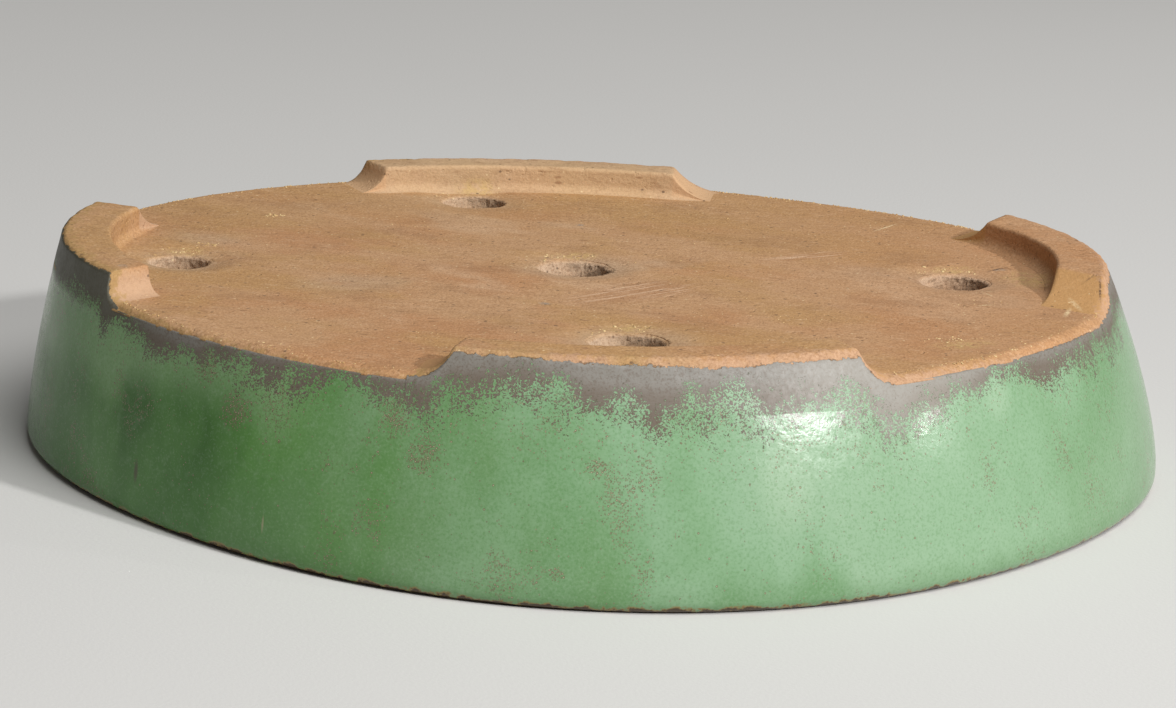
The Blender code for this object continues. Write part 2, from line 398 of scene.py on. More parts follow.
@dataclass(frozen=True)
class TopLine:
    """The upper edge of the outer side, feet included, and the ragged line where the glaze ends."""

    form: PotForm
    feet: tuple[FootPlan, ...] = FEET
    jagged: float = 0.27
    slow: float = 0.45
    crest: float = 0.025
    crest_reach: float = 0.12

    @cached_property
    def _tips(self) -> dict[float, tuple[Vector, Vector]]:
        """Tips of the feet.

        Returns:
            Place in plan and direction round the pot of each tip, by its angle in degrees.
        """
        tips = {}
        for degrees in [end for foot in self.feet for end in (foot.start, foot.end)]:
            normal = self.form.outward(math.radians(degrees), self.form.height)
            tip = self.form.skin(math.radians(degrees), self.form.height).to_2d()
            tips[degrees] = (tip, Vector((-normal.y, normal.x)))
        return tips

    def _scoop(self, degrees: float, run: float, way: float, place: Vector) -> float:
        """Height left by the scoop at one end of a foot, above the underside.

        Args:
            degrees: Angle of the foot's tip.
            run: Length of the scoop along the outline.
            way: 1 where the foot starts and -1 where it ends.
            place: The place in plan.

        Returns:
            Height in metres, rising on past the foot's full height.
        """
        tip, forward = self._tips[degrees]
        along = (place - tip).dot(forward) * way
        if along <= 0:
            return 0.0
        if along >= run:
            return self.form.foot_height + (along - run) * self.form.foot_height / run
        radius = (run ** 2 + self.form.foot_height ** 2) / (2 * self.form.foot_height)
        return radius - math.sqrt(radius ** 2 - along ** 2)

    def foot_share(self, foot: FootPlan, angle: float, place: Vector) -> float:
        """Share of its full height that a foot has at a place.

        Args:
            foot: The foot.
            angle: Direction round the pot in radians.
            place: The place in plan.

        Returns:
            0 at a tip or off the foot, 1 between the scooped ends.
        """
        middle = math.radians((foot.start + foot.end) / 2)
        off = math.remainder(angle - middle, 2 * math.pi)
        if abs(off) > math.radians(foot.end - foot.start) / 2 + 0.02:
            return 0.0
        first = self._scoop(foot.start, foot.start_run, 1.0, place)
        last = self._scoop(foot.end, foot.end_run, -1.0, place)
        share = min(first, last) / self.form.foot_height
        return min(1.0, share) - self.crest * max(0.0, 1 - abs(share - 1) / self.crest_reach) ** 2

    def share(self, angle: float) -> float:
        """Share of foot height on the outer side at an angle."""
        place = self.form.skin(angle, self.form.height).to_2d()
        return max(self.foot_share(foot, angle, place) for foot in self.feet)

    def depth(self, angle: float, level: float, inset: float, share: float) -> float:
        """Distance below the line where the glaze ends, in millimetres.

        Args:
            angle: Direction round the pot in radians.
            level: Height above the rim plane.
            inset: Distance inside the outer skin.
            share: Share of foot height here.

        Returns:
            Millimetres, negative on bare clay.
        """
        top = self.form.height + self.form.foot_height * share
        jagged, slow = line_wander(angle)
        drop = band_at(angle)[0] + jagged * self.jagged + slow * self.slow
        return (top - level - max(0.0, inset)) / MM - drop

    @staticmethod
    def breaking(angle: float, depth: float) -> float:
        """How far the grey band has broken up into green: 0 or less in the plain band, 1 below it."""
        _, half, spread = band_at(angle)
        return 0.5 + (depth - half) / spread


def spun(section: Section, radius: float, steps: int, start: float, end: float) -> BMesh:
    """Spin a closed section of insets and levels about Z.

    Args:
        section: Inset and level of each point, in order round the section.
        radius: Radius of the blank, from which the insets count inward.
        steps: Number of steps round.
        start: First direction in degrees.
        end: Last direction in degrees.

    Returns:
        The mesh, closed round the axis on a full turn and open at its ends otherwise.
    """
    bm = bmesh.new()
    verts = [bm.verts.new((radius - inset, 0.0, level)) for inset, level in section]
    edges = [bm.edges.new((verts[i - 1], verts[i])) for i in range(len(verts))]
    turn = Matrix.Rotation(math.radians(start), 3, "Z")
    bmesh.ops.rotate(bm, verts=verts, cent=(0, 0, 0), matrix=turn)
    full = abs(end - start) >= 360
    bmesh.ops.spin(
        bm, geom=verts + edges, cent=(0, 0, 0), axis=(0, 0, 1), dvec=(0, 0, 0),
        angle=math.radians(end - start), steps=steps, use_merge=full, use_duplicate=False,
    )
    return bm


def angle_of(place: Vector) -> float:
    """Direction of a place round the pot in radians, rounded so that places in line share one."""
    return round(math.atan2(place.y, place.x), 5)


def blank_place(place: Vector, radius: float) -> Triple:
    """Direction in radians, inset and level of a place on a round blank of some radius."""
    return angle_of(place), radius - math.hypot(place.x, place.y), place.z


def mesh_from(bm: BMesh, name: str) -> Mesh:
    """Mesh made from a bmesh, which is freed.

    Args:
        bm: The bmesh.
        name: Name of the mesh.

    Returns:
        The mesh.
    """
    mesh = bpy.data.meshes.new(name)
    bm.to_mesh(mesh)
    bm.free()
    return mesh


def add_object(name: str, data: bpy.types.ID) -> Object:
    """Object with some data, linked to the scene.

    Args:
        name: Name of the object.
        data: Its mesh, lamp or camera.

    Returns:
        The object.
    """
    made = bpy.data.objects.new(name, data)
    bpy.context.scene.collection.objects.link(made)
    return made


def finish_piece(bm: BMesh, name: str, material: Material, nodes: Sequence[str] = ()) -> Object:
    """Turn a mesh into a smooth piece that rides on the pot.

    Args:
        bm: The finished mesh, which is freed.
        name: Name of the piece.
        material: Its material.
        nodes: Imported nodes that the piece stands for.

    Returns:
        The piece.
    """
    bmesh.ops.recalc_face_normals(bm, faces=bm.faces)
    mesh = mesh_from(bm, name)
    mesh.shade_smooth()
    mesh.materials.append(material)
    piece = add_object(name, mesh)
    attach(piece, BODY)
    if nodes:
        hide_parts(*nodes)
    log.info("%s: %d faces", name, len(mesh.polygons))
    return piece


@dataclass(frozen=True)
class Mark:
    """A local mark: its middle, its half sizes along, across and up, and its turn about Z in degrees."""

    centre: Triple
    half: Triple
    turn: float = 0.0


def floor_mark(x: float, y: float, half_x: float, half_y: float, turn: float = 0.0) -> Mark:
    """Mark on the underside: its middle, its half sizes and its turn in degrees."""
    return Mark((x, y, UNDERSIDE), (half_x, half_y, 0.0050), turn)


class Graph:
    """Short calls for the nodes of one procedural material on object coordinates."""

    def __init__(self, name: str) -> None:
        """Start a material with a Principled shader.

        Args:
            name: Name of the material.
        """
        self.material = bpy.data.materials.new(name)
        self.material.use_nodes = True
        self.tree = self.material.node_tree
        self.shader = self.tree.nodes["Principled BSDF"]
        self.place = self.tree.nodes.new("ShaderNodeTexCoord").outputs["Object"]

    def _set(self, socket: NodeSocket, value: object) -> None:
        """Link a socket to another, or set its value.

        Args:
            socket: The input.
            value: A socket to link from, or a number, colour or vector.
        """
        if isinstance(value, NodeSocket):
            self.tree.links.new(value, socket)
        elif isinstance(value, tuple) and len(value) == 3 and socket.type == "RGBA":
            socket.default_value = (*value, 1.0)
        else:
            socket.default_value = value

    def _node(self, kind: str, inputs: dict[str | int, object], **settings: object) -> Node:
        """Add a shader node.

        Args:
            kind: The node's type, without the words before it.
            inputs: Value or socket for each input, by name or number.
            settings: The node's own settings.

        Returns:
            The node.
        """
        node = self.tree.nodes.new(f"ShaderNode{kind}")
        for key, value in settings.items():
            setattr(node, key, value)
        for key, value in inputs.items():
            self._set(node.inputs[key], value)
        return node

    def _turned(self, place: object, degrees: float) -> NodeSocket:
        """Place turned about Z."""
        inputs = {"Vector": place, "Angle": math.radians(degrees)}
        return self._node("VectorRotate", inputs, rotation_type="Z_AXIS").outputs[0]

    def _vectors(self, operation: str, first: object, second: object) -> NodeSocket:
        """Result of a vector math node."""
        return self._node("VectorMath", {0: first, 1: second}, operation=operation).outputs[0]

    def stretched(self, scale: Triple, turn: float = 0.0) -> NodeSocket:
        """Object coordinates turned about Z by degrees, then scaled."""
        return self._vectors("MULTIPLY", self._turned(self.place, turn), scale)

    def noise(
        self, scale: float, detail: float = 2.0, rough: float = 0.5, place: object = None, twist: float = 0.0,
    ) -> NodeSocket:
        """Noise between 0 and 1.

        Args:
            scale: Features per metre.
            detail: Number of finer layers.
            rough: Strength of the finer layers.
            place: Coordinates to use instead of the object's.
            twist: Distortion.

        Returns:
            The noise value.
        """
        inputs = {"Vector": place or self.place, "Scale": scale, "Detail": detail}
        return self._node("TexNoise", inputs | {"Roughness": rough, "Distortion": twist}).outputs["Fac"]

    def spots(self, scale: float, place: object = None) -> tuple[NodeSocket, NodeSocket]:
        """Distance from the nearest scattered point, in cells, and that point's random number.

        Args:
            scale: Points per metre.
            place: Coordinates to use instead of the object's.

        Returns:
            The distance and the random number.
        """
        node = self._node("TexVoronoi", {"Vector": place or self.place, "Scale": scale})
        parts = self._node("SeparateColor", {0: node.outputs["Color"]})
        return node.outputs["Distance"], parts.outputs[0]

    def maths(self, operation: str, first: object, second: object) -> NodeSocket:
        """Result of a math node."""
        return self._node("Math", {0: first, 1: second}, operation=operation).outputs[0]

    def plus(self, first: object, second: object) -> NodeSocket:
        """Sum of two values."""
        return self.maths("ADD", first, second)

    def times(self, first: object, second: object) -> NodeSocket:
        """Product of two values."""
        return self.maths("MULTIPLY", first, second)

    def ease(
        self, value: object, low: float, high: float, to_low: float = 0.0, to_high: float = 1.0,
    ) -> NodeSocket:
        """Ease a value from one range to another, held at the ends."""
        inputs = {"Value": value, "From Min": low, "From Max": high, "To Min": to_low, "To Max": to_high}
        return self._node("MapRange", inputs, interpolation_type="SMOOTHSTEP").outputs[0]

    def mix(self, share: object, first: object, second: object) -> NodeSocket:
        """Colour that goes from the first to the second as the share goes from 0 to 1."""
        return self._node("Mix", {"Factor": share, 6: first, 7: second}, data_type="RGBA").outputs[2]

    def lay(self, colour: object, shade: object, cover: object, strength: object) -> NodeSocket:
        """Colour with a shade laid over it, as strongly as a cover and a strength say together."""
        return self.mix(self.times(cover, strength), colour, shade)

    def washes(self, colour: object, *shades: tuple[object, float, float, float, Colour]) -> NodeSocket:
        """Lay shades over a colour, one after another.

        Args:
            colour: The colour below.
            shades: For each shade, a value, the value's ends from no cover to full cover, the
                strength of the full cover, and the shade.

        Returns:
            The colour socket.
        """
        for value, low, high, strength, shade in shades:
            colour = self.mix(self.ease(value, low, high, 0.0, strength), colour, shade)
        return colour

    def ragged(self, value: object, noise_value: object, reach: float) -> NodeSocket:
        """Value pushed up and down by a noise, as far as a reach."""
        return self.plus(value, self.ease(noise_value, 0.3, 0.7, -reach, reach))

    def ramp(self, value: object, stops: Sequence[tuple[float, Colour]]) -> NodeSocket:
        """Colour that runs through stops as a value rises.

        Args:
            value: The value.
            stops: Value and colour of each stop, in rising order.

        Returns:
            The colour socket.
        """
        low, span = stops[0][0], stops[-1][0] - stops[0][0]
        node = self._node("ValToRGB", {"Fac": self.maths("DIVIDE", self.maths("SUBTRACT", value, low), span)})
        elements = node.color_ramp.elements
        for place, _ in stops[1:-1]:
            elements.new((place - low) / span)
        for element, (_, colour) in zip(elements, stops):
            element.color = (*colour, 1.0)
        return node.outputs["Color"]

    def attribute(self, name: str) -> NodeSocket:
        """Number stored on the piece's points."""
        return self._node("Attribute", {}, attribute_name=name).outputs["Fac"]

    def axis(self, index: int) -> NodeSocket:
        """One object coordinate."""
        return self._node("SeparateXYZ", {0: self.place}).outputs[index]

    def patch(self, mark: Mark) -> NodeSocket:
        """Mask of a local mark: 1 in its middle and 0 from its edge on.

        Args:
            mark: The mark.

        Returns:
            The mask.
        """
        offset = self._vectors("SUBTRACT", self.place, mark.centre)
        scaled = self._vectors("DIVIDE", self._turned(offset, -mark.turn), mark.half)
        length = self._node("VectorMath", {0: scaled}, operation="LENGTH").outputs["Value"]
        return self.ease(length, 1.0, 0.25)

    def patches(self, marks: Iterable[Mark]) -> NodeSocket:
        """Mask of several marks together.

        Args:
            marks: The marks.

        Returns:
            The mask.
        """
        cover = 0.0
        for mark in marks:
            cover = self.maths("MAXIMUM", cover, self.patch(mark))
        return cover

    def bump(self, height: object, distance: float) -> NodeSocket:
        """Bumped normal."""
        inputs = {"Strength": 1.0, "Distance": distance, "Height": height}
        return self._node("Bump", inputs).outputs[0]

    def done(self, colour: object, roughness: object, normal: object) -> Material:
        """Link the results to the shader and return the material.

        Args:
            colour: Base colour.
            roughness: Roughness.
            normal: Bumped normal.

        Returns:
            The material.
        """
        for name, value in (
            ("Base Color", colour), ("Roughness", roughness), ("Normal", normal),
            ("Metallic", 0.0), ("Specular IOR Level", 0.36),
        ):
            self._set(self.shader.inputs[name], value)
        return self.material


HOLE_HALOS = tuple(
    Mark((hole.x, hole.y, UNDERSIDE), (hole.diameter / 2 + 0.014, hole.diameter / 2 + 0.007, 0.014))
    for hole in DRAIN_HOLES
)
SCRATCHES = (
    floor_mark(0.0011, -0.0215, 0.0280, 0.0110, 27.4),
    floor_mark(0.0560, 0.0150, 0.0170, 0.0045, 20.0),
)
PALE_STROKES = (
    floor_mark(0.0868, 0.0470, 0.0085, 0.0006, 44.0),
    floor_mark(0.0948, -0.0211, 0.0038, 0.0004, -70.0),
    floor_mark(0.0908, -0.0323, 0.0030, 0.0005, 12.0),
    floor_mark(0.0965, -0.0180, 0.0026, 0.0003, -25.0),
    Mark((0.1146, -0.0350, 0.0540), (0.0066, 0.0013, 0.0050), 97.0),
    Mark((0.1105, -0.0400, 0.0515), (0.0060, 0.0010, 0.0040), 62.0),
)
CRACKS = (
    Mark((0.1221, -0.0312, 0.0550), (0.0068, 0.0005, 0.0060), 75.0),
    Mark((0.1190, -0.0268, 0.0576), (0.0045, 0.0005, 0.0030), 17.0),
    Mark((0.1058, 0.0036, UNDERSIDE), (0.0060, 0.0007, 0.0030), 32.0),
)
SMUDGES = (
    floor_mark(-0.0252, -0.0328, 0.0022, 0.0018, -12.0),
    floor_mark(0.0002, 0.0466, 0.0016, 0.0016),
    floor_mark(0.1061, 0.0027, 0.0030, 0.0012, 15.0),
    Mark((-0.1306, -0.0255, 0.0560), (0.0020, 0.0026, 0.0030)),
)
OCHRE_PATCHES = tuple(
    floor_mark(hole.x + 0.002, hole.y + hole.diameter / 2 + 0.0016, hole.diameter / 2, 0.0042)
    for hole in DRAIN_HOLES
) + (
    floor_mark(0.1112, -0.0073, 0.0100, 0.0120),
    floor_mark(0.0740, -0.0690, 0.0120, 0.0050, 12.0),
)
GREY_SMEARS = (
    floor_mark(-0.0388, 0.0735, 0.0220, 0.0110, -8.0),
    floor_mark(-0.1050, 0.0290, 0.0160, 0.0090, -30.0),
    floor_mark(0.0720, 0.0000, 0.0200, 0.0100, 10.0),
    floor_mark(0.0964, -0.0290, 0.0150, 0.0110),
    floor_mark(0.0150, 0.0060, 0.0160, 0.0070, 22.0),
    floor_mark(-0.0700, -0.0150, 0.0240, 0.0120, 8.0),
)


@dataclass(frozen=True)
class ClayFinish:
    """Bare fired stoneware, wiped with a sponge: streaks, grit, stains and ochre edges."""

    body: Colour = (0.525, 0.305, 0.155)
    warm: Colour = (0.490, 0.250, 0.115)
    ochre: Colour = (0.480, 0.275, 0.108)
    dark: Colour = (0.300, 0.155, 0.075)
    pale: Colour = (0.640, 0.425, 0.260)
    grey: Colour = (0.520, 0.390, 0.265)
    edge: Colour = (0.420, 0.258, 0.098)
    peach: Colour = (0.520, 0.310, 0.185)
    stroke: Colour = (0.700, 0.470, 0.300)
    rubbed: Colour = (0.400, 0.190, 0.090)
    gold: Colour = (0.560, 0.380, 0.150)
    bore: Colour = (0.600, 0.450, 0.330)
    grit: Colour = (0.780, 0.600, 0.350)
    speck: Colour = (0.110, 0.066, 0.040)
    smudge: Colour = (0.280, 0.265, 0.235)
    cut: Colour = (0.600, 0.390, 0.240)
    wipe_turn: float = 11.8
    sandy: float = 1.0

    def _field(self, g: Graph) -> NodeSocket:
        """Colour of the open clay: broad stains, wipe streaks, the pale rings round the holes, and painted
        shade deep in the holes.

        Args:
            g: The material's graph.

        Returns:
            The colour socket.
        """
        clouds = g.noise(26.0, 3.0, 0.55)
        stains = g.noise(19.0, 4.0, 0.6, g.stretched((0.8, 1.3, 1.0), 35.0))
        colour = g.washes(
            self.body,
            (clouds, 0.42, 0.64, 1.0, self.warm),
            (stains, 0.46, 0.62, 0.8, self.ochre),
            (stains, 0.44, 0.32, 0.6, self.pale),
        )
        halo = g.patches(HOLE_HALOS)
        smears = g.ease(g.noise(70.0, 4.0, 0.6), 0.35, 0.6, 0.2, 1.0)
        colour = g.lay(colour, self.grey, g.times(halo, smears), 0.65)
        colour = g.lay(colour, self.grey, g.times(g.patches(GREY_SMEARS), smears), 0.40)
        broad = g.noise(48.0, 5.0, 0.6, g.stretched((0.9, 1.4, 1.4), self.wipe_turn))
        fine = g.noise(300.0, 5.0, 0.75, g.stretched((0.9, 1.5, 1.5), self.wipe_turn))
        hairs = g.noise(900.0, 3.0, 0.65, g.stretched((0.30, 1.0, 1.0), self.wipe_turn))
        colour = g.washes(
            colour,
            (g.axis(0), 0.02, 0.10, 0.55, self.warm),
            (g.axis(1), 0.02, 0.08, 0.50, self.ochre),
            (broad, 0.50, 0.70, 0.34, self.dark),
            (fine, 0.52, 0.70, 0.44, self.dark),
            (fine, 0.46, 0.30, 0.40, self.pale),
            (hairs, 0.55, 0.68, 0.26, self.dark),
            (hairs, 0.45, 0.32, 0.24, self.pale),
        )
        burrs = g.times(g.patches(OCHRE_PATCHES), g.ease(g.noise(520.0, 4.0, 0.7), 0.40, 0.58))
        colour = g.lay(colour, self.gold, burrs, 0.65)
        colour = g.lay(colour, self.bore, g.times(halo, g.ease(g.axis(2), 0.0499, 0.0489)), 0.65)
        # Painted shade: the holes' bores darkened deeper down.
        return g.lay(colour, self.dark, halo, g.ease(g.axis(2), 0.0478, 0.0430, 0.0, 0.75))

    def _marks(self, g: Graph, colour: object) -> NodeSocket:
        """Scratches, single pale strokes, grey smudges and dark cracks laid over a colour.

        Args:
            g: The material's graph.
            colour: The colour below.

        Returns:
            The colour socket.
        """
        for mark in SCRATCHES:
            colour = g.lay(colour, self.rubbed, g.patch(mark), 0.45)
            lines = g.noise(1100.0, 2.0, 0.6, g.stretched((0.05, 1.0, 1.0), -mark.turn))
            colour = g.lay(colour, self.stroke, g.times(g.ease(lines, 0.53, 0.57), g.patch(mark)), 0.80)
        rough = g.ease(g.noise(1400.0, 2.0), 0.34, 0.50)
        for marks, shade, weight in (
            (PALE_STROKES, self.grit, 0.85), (SMUDGES, self.smudge, 0.7), (CRACKS, self.speck, 0.9),
        ):
            for mark in marks:
                colour = g.lay(colour, shade, g.times(g.patch(mark), rough), weight)
        return colour

    def colour(self, g: Graph, depth: object) -> NodeSocket:
        """Colour of the clay.

        Args:
            g: The material's graph.
            depth: Millimetres below the glaze line.

        Returns:
            The colour socket.
        """
        colour = g.lay(self._field(g), self.cut, g.attribute("cut_end"), 0.75)
        colour = self._marks(g, colour)
        along = g.plus(g.axis(0), g.ease(g.noise(55.0, 2.0), 0.35, 0.65, -0.03, 0.03))
        edges = g.mix(g.ease(along, -0.06, 0.0), self.edge, self.peach)
        near = g.ease(g.ragged(depth, g.noise(420.0, 3.0, 0.7), 2.2), -4.4, -1.0)
        colour = g.lay(colour, edges, near, 0.88)
        grain = g.noise(1500.0, 3.0, 0.7)
        sandy = g.maths("SUBTRACT", self.sandy, g.times(g.attribute("cut_end"), self.sandy * 0.7))
        colour = g.lay(colour, self.dark, g.ease(grain, 0.47, 0.66, 0.0, 0.56), sandy)
        colour = g.lay(colour, self.pale, g.ease(grain, 0.46, 0.30, 0.0, 0.50), sandy)
        for scale, shape, limit, shade in (
            (430.0, (0.8, 1.0, 1.0), 0.76, self.speck),
            (330.0, (0.40, 1.0, 1.0), 0.88, self.dark),
            (560.0, (1.0, 1.0, 1.0), 0.88, self.grit),
        ):
            away, pick = g.spots(scale, g.stretched(shape, self.wipe_turn))
            chosen = g.times(g.ease(away, 0.20, 0.10), g.maths("GREATER_THAN", pick, limit))
            colour = g.lay(colour, shade, chosen, 0.7)
        return colour

    def height(self, g: Graph) -> NodeSocket:
        """Height of the clay's grain and wipe marks, between 0 and 1.

        Args:
            g: The material's graph.

        Returns:
            The height socket.
        """
        streaks = g.noise(210.0, 4.0, 0.65, g.stretched((0.8, 2.4, 2.4), self.wipe_turn))
        grain = g.noise(1100.0, 3.0, 0.65)
        pits = g.noise(430.0, 2.0, 0.5)
        height = g.plus(g.times(streaks, 0.45), g.times(grain, 0.55))
        return g.plus(height, g.times(g.ease(pits, 0.36, 0.24), -0.5))

    def material(self, name: str = "bare_stoneware") -> Material:
        """Build the bare clay material.

        Args:
            name: Name of the material.

        Returns:
            The material.
        """
        g = Graph(name)
        colour = self.colour(g, g.attribute("glaze_depth"))
        return g.done(colour, g.ease(g.noise(300.0), 0.3, 0.7, 0.80, 0.95), g.bump(self.height(g), 0.00032))


@dataclass(frozen=True)
class CrumbFinish:
    """Pale ochre crumbs of clay."""

    light: Colour = (0.740, 0.560, 0.290)
    deep: Colour = (0.520, 0.320, 0.130)

    def material(self) -> Material:
        """Build the crumbs' material.

        Returns:
            The material.
        """
        g = Graph("ochre_crumbs")
        colour = g.mix(g.ease(g.noise(260.0, 2.0), 0.40, 0.62), self.light, self.deep)
        return g.done(colour, g.ease(g.noise(900.0), 0.3, 0.7, 0.80, 0.95), g.bump(g.noise(2200.0), 0.00008))


SPECKLE_CLUSTERS = (
    Mark((-0.0665, -0.1023, 0.0329), (0.0060, 0.0050, 0.0065)),
    Mark((-0.0275, -0.1139, 0.0334), (0.0040, 0.0040, 0.0030)),
    Mark((-0.0369, -0.1188, 0.0092), (0.0030, 0.0030, 0.0020)),
    Mark((-0.1073, -0.0726, 0.0349), (0.0060, 0.0060, 0.0060)),
    Mark((-0.1128, -0.0634, 0.0430), (0.0050, 0.0050, 0.0060)),
    Mark((-0.0720, -0.0957, 0.0400), (0.0060, 0.0060, 0.0070)),
    Mark((0.0727, -0.0973, 0.0232), (0.0013, 0.0013, 0.0013)),
)
# Milky patches in the glaze: partly its own clouds and partly painted glow below the highlight.
MILKY_CLOUDS_AND_PAINTED_GLOW = (
    Mark((0.0180, -0.1140, 0.0300), (0.0100, 0.0150, 0.0150)),
    Mark((0.0550, -0.0960, 0.0430), (0.0060, 0.0080, 0.0050)),
    Mark((0.0780, -0.0850, 0.0420), (0.0065, 0.0080, 0.0080)),
)
DARK_BLEMISH = Mark((-0.1284, -0.0510, 0.0126), (0.0011, 0.0011, 0.0042))
GLAZE_SCRATCH = Mark((-0.1012, -0.0837, 0.0097), (0.00045, 0.00045, 0.0038))


@dataclass(frozen=True)
class GlazeFinish:
    """Satin green glaze that breaks to a grey-mauve band below its edge, over the clay."""

    clay: ClayFinish = field(default_factory=ClayFinish)
    # Green along the pot by x: partly the glaze's own tone, with painted shade darkening the left end and
    # painted light, the glow below the highlight, brightening it round x 0.045.
    glaze_tones_and_painted_light: tuple[tuple[float, Colour], ...] = (
        (-0.148, (0.022, 0.096, 0.004)),
        (-0.120, (0.120, 0.284, 0.068)),
        (-0.075, (0.182, 0.318, 0.146)),
        (-0.020, (0.220, 0.372, 0.208)),
        (0.015, (0.252, 0.398, 0.244)),
        (0.045, (0.275, 0.412, 0.264)),
        (0.090, (0.250, 0.392, 0.240)),
        (0.135, (0.190, 0.325, 0.172)),
    )
    deep: Colour = (0.075, 0.200, 0.050)
    milky: Colour = (0.330, 0.460, 0.310)
    painted_light_green: Colour = (0.240, 0.390, 0.185)
    painted_shade_mauve: Colour = (0.060, 0.060, 0.032)
    mauve: Colour = (0.225, 0.208, 0.182)
    painted_glow_mauve: Colour = (0.420, 0.395, 0.350)
    brown: Colour = (0.140, 0.104, 0.076)
    seam: Colour = (0.085, 0.075, 0.045)
    pinhole: Colour = (0.460, 0.390, 0.260)
    ring: Colour = (0.150, 0.120, 0.075)
    burnt: Colour = (0.070, 0.044, 0.020)
    ochre: Colour = (0.270, 0.190, 0.070)
    burnt_rim: float = 0.0012
    matte: float = 0.86

    def _green(self, g: Graph) -> NodeSocket:
        """Colour of the green glaze with clouds and grain, darker near the rim: its own tone along the pot,
        with painted shade darkening the left end and painted light paling it towards the front right and on
        the left end's upper part.

        Args:
            g: The material's graph.

        Returns:
            The colour socket.
        """
        runs = g.noise(52.0, 3.0, 0.5, g.stretched((1.0, 1.0, 0.35)))
        clouds = g.noise(24.0, 3.0, 0.5, g.stretched((1.0, 1.0, 0.6)))
        along = g.ragged(g.ragged(g.axis(0), runs, 0.016), clouds, 0.020)
        colour = g.washes(
            g.ramp(along, self.glaze_tones_and_painted_light),
            (clouds, 0.56, 0.40, 0.30, self.deep),
            (g.ragged(g.axis(2), runs, 0.003), 0.010, 0.002, 0.30, self.deep),
        )
        # Painted shade darkens the lower part of the left end, and painted light makes its upper part paler.
        left = g.ease(g.axis(0), -0.080, -0.105)
        colour = g.lay(colour, self.deep, left, g.ease(g.axis(2), 0.030, 0.012, 0.0, 0.52))
        upper = g.ease(g.ragged(g.axis(2), clouds, 0.006), 0.024, 0.038, 0.0, 0.74)
        colour = g.lay(colour, self.painted_light_green, g.ease(g.axis(0), -0.085, -0.100), upper)
        # Painted shade: the far left end darkened further.
        colour = g.washes(colour, (g.axis(0), -0.128, -0.148, 0.60, self.deep))
        # These milky patches are partly painted glow below the highlight.
        soft = g.ease(clouds, 0.30, 0.62, 0.30, 0.66)
        for mark in MILKY_CLOUDS_AND_PAINTED_GLOW:
            colour = g.lay(colour, self.milky, g.patch(mark), soft)
        grain = g.noise(1500.0, 2.0, 0.6)
        return g.washes(
            colour,
            (g.noise(380.0, 3.0, 0.6), 0.48, 0.72, 0.10, self.milky),
            (grain, 0.48, 0.70, 0.30, self.deep),
            (grain, 0.48, 0.30, 0.16, self.milky),
        )

    def _speckles(self, g: Graph, colour: object) -> NodeSocket:
        """Pinholes with brown rings, in loose swarms and in a few close clusters.

        Args:
            g: The material's graph.
            colour: The colour below.

        Returns:
            The colour socket.
        """
        swarm = g.ease(g.noise(70.0, 4.0, 0.65, g.stretched((1.0, 1.0, 0.7))), 0.54, 0.70, 0.0, 0.60)
        clusters = g.patches(SPECKLE_CLUSTERS)
        swarm = g.maths("MAXIMUM", swarm, g.times(clusters, 0.95))
        swarm = g.plus(swarm, g.ease(g.attribute("band_break"), 2.0, 0.9, 0.010, 0.12))
        for scale, chance, crowd in ((2300.0, 1.0, 0.0), (1500.0, 0.30, 0.30)):
            away, pick = g.spots(scale)
            chosen = g.maths("LESS_THAN", pick, g.plus(g.times(swarm, chance), g.times(clusters, crowd)))
            colour = g.lay(colour, self.ring, g.ease(away, 0.56, 0.34, 0.0, 0.75), chosen)
            colour = g.lay(colour, self.pinhole, g.ease(away, 0.28, 0.12, 0.0, 0.90), chosen)
        return colour

    def colour(self, g: Graph) -> NodeSocket:
        """Colour of the glaze, from the grey band at its edge to the burnt line at the rim.

        Args:
            g: The material's graph.

        Returns:
            The colour socket.
        """
        share = g.attribute("band_break")
        patchy = g.ease(g.noise(110.0, 5.0, 0.75, g.stretched((1.0, 1.0, 0.60))), 0.28, 0.72, -0.50, 0.50)
        cover = g.plus(share, g.times(patchy, g.ease(share, -0.35, 0.10)))
        worms = g.ease(g.noise(1850.0, 2.0, 0.5, None, 1.0), 0.31, 0.69)
        grown = g.maths("SUBTRACT", g.plus(g.times(cover, 1.10), -0.05), worms)
        # The last shade laid on the grey band is painted shade, darkening it at the far left end.
        mottled = g.washes(
            self.mauve,
            (g.noise(1600.0, 2.0, 0.6), 0.44, 0.70, 0.60, self.brown),
            (share, -0.15, 0.30, 0.70, self.brown),
            (g.axis(0), -0.118, -0.142, 0.85, self.painted_shade_mauve),
        )
        # Painted glow of the highlight on the grey band, at the front right.
        painted_glow_cover = g.times(g.ease(g.axis(0), 0.008, 0.036, 0.0, 0.38), g.ease(g.axis(0), 0.090, 0.058))
        mottled = g.lay(mottled, self.painted_glow_mauve, painted_glow_cover, g.ease(g.axis(1), 0.0, -0.050))
        lined = g.mix(g.ease(grown, -0.14, -0.03), mottled, self.seam)
        colour = g.mix(g.ease(grown, -0.02, 0.07), lined, self._speckles(g, self._green(g)))
        colour = g.lay(colour, self.seam, g.patch(DARK_BLEMISH), 0.8)
        colour = g.lay(colour, self.pinhole, g.patch(GLAZE_SCRATCH), 0.5)
        rim = g.ragged(g.axis(2), g.noise(260.0, 3.0, 0.7), 0.0009)
        return g.washes(
            colour,
            (rim, self.burnt_rim * 1.5, self.burnt_rim, 1.0, self.ochre),
            (rim, self.burnt_rim * 1.1, self.burnt_rim * 0.7, 1.0, self.burnt),
        )

